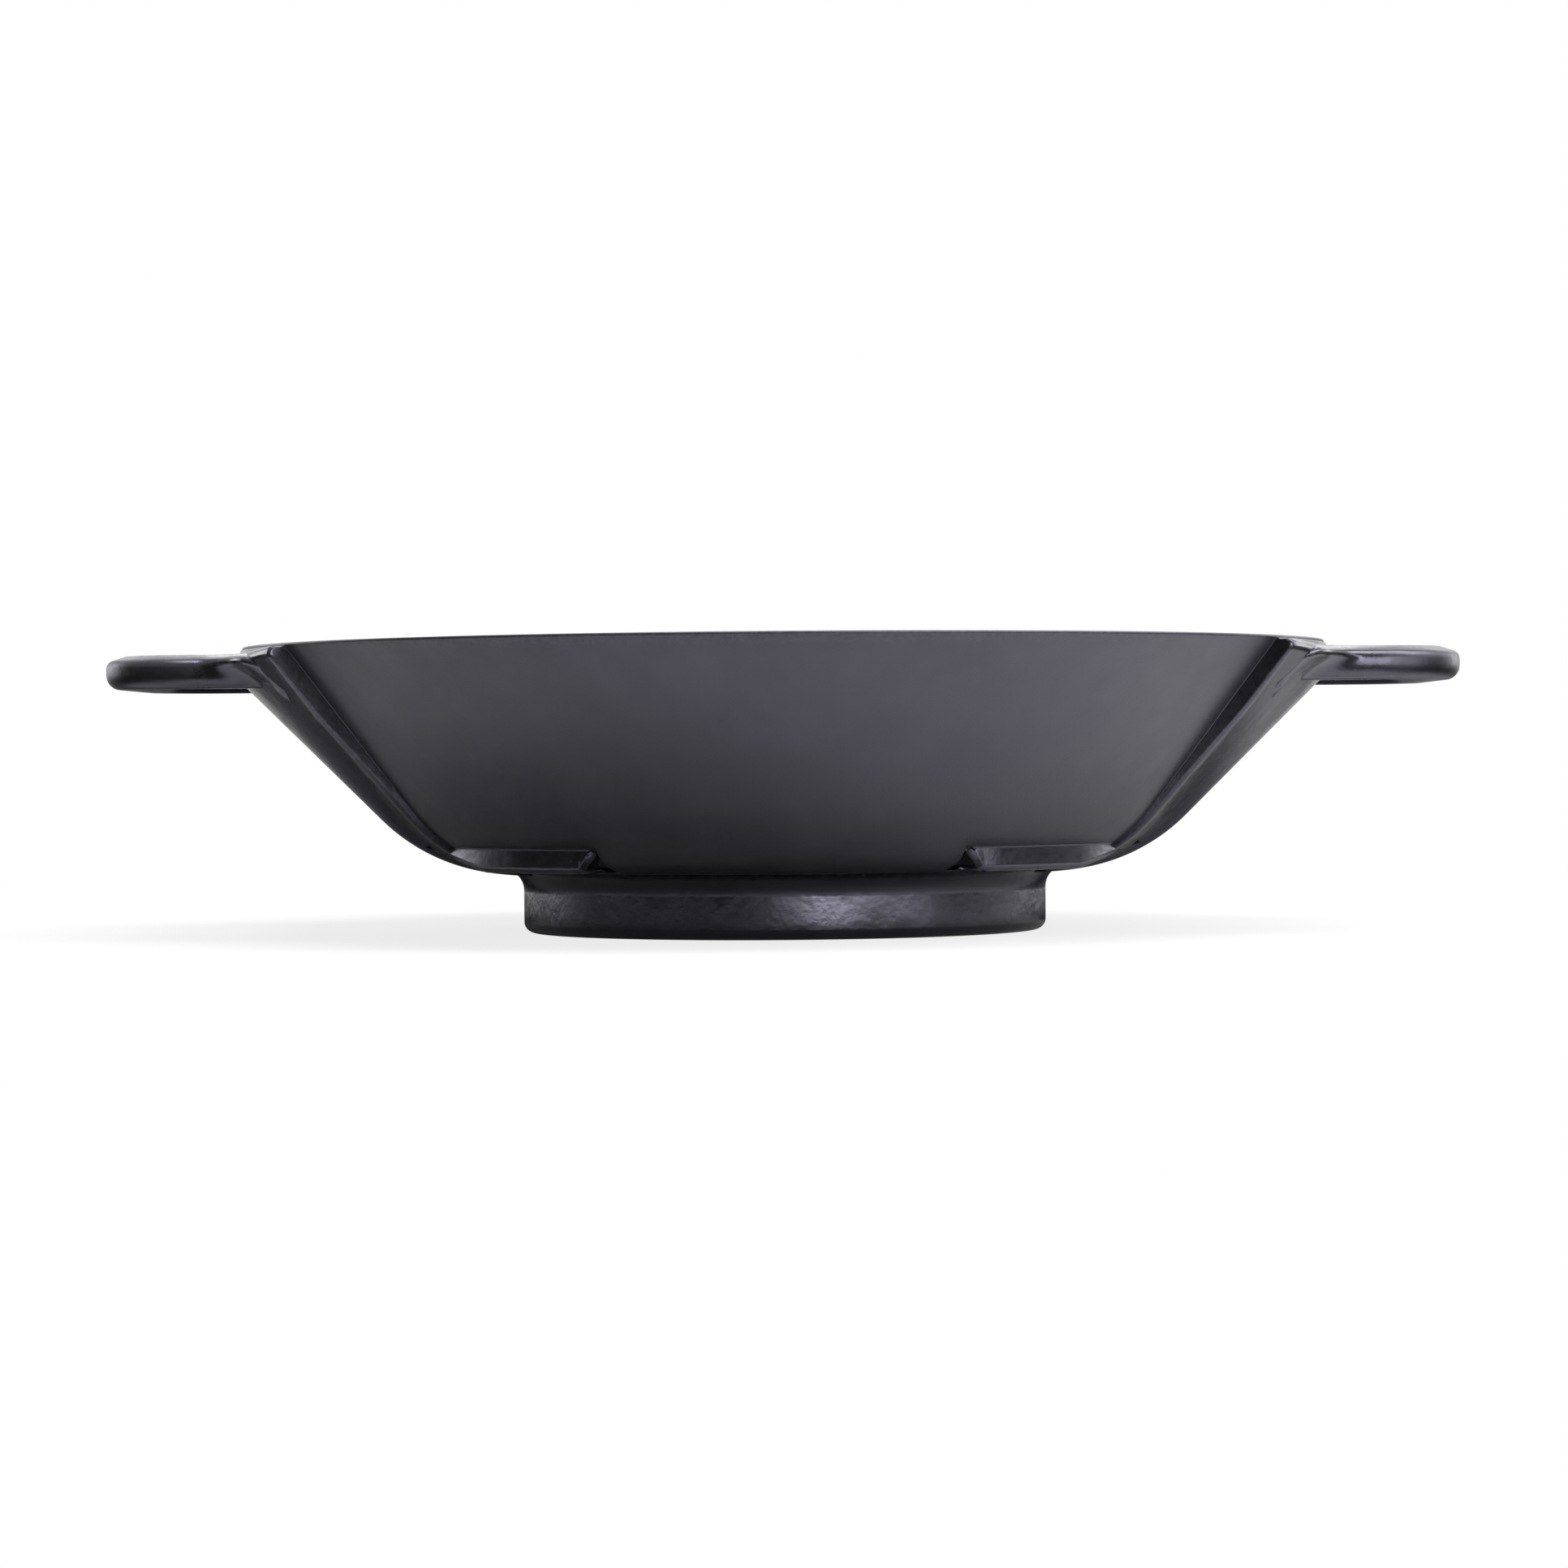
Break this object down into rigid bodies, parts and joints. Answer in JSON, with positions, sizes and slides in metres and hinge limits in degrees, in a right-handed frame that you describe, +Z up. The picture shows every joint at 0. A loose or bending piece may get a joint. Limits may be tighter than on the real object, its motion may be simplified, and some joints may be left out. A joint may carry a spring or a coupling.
{
  "type": "cast iron wok",
  "caption": "Dished cast iron wok on a foot ring, with a loop handle at each side carried by a broad strap down the flank and arc-shaped lugs under the bowl.",
  "frame": {"origin": "centre of the foot ring's lower face, the middle of the circle that the wok stands on", "axes": "+X through the right handle, -Y towards the side that the picture shows, +Z up out of the bowl"},
  "size_m": [0.442, 0.359, 0.095],
  "materials": {
    "smooth_iron": "satin, seasoned, smooth",
    "sand_cast_iron": "satin, seasoned, with sand-cast grain"
  },
  "bodies": {
    "root": {"bowl": "smooth_iron", "foot_ring": "sand_cast_iron", "right_handle": "sand_cast_iron", "right_strap": "sand_cast_iron", "right_front_lug": "sand_cast_iron", "right_rear_lug": "sand_cast_iron", "left_handle": "sand_cast_iron", "left_strap": "sand_cast_iron", "left_front_lug": "sand_cast_iron", "left_rear_lug": "sand_cast_iron"}
  },
  "joints": []
}
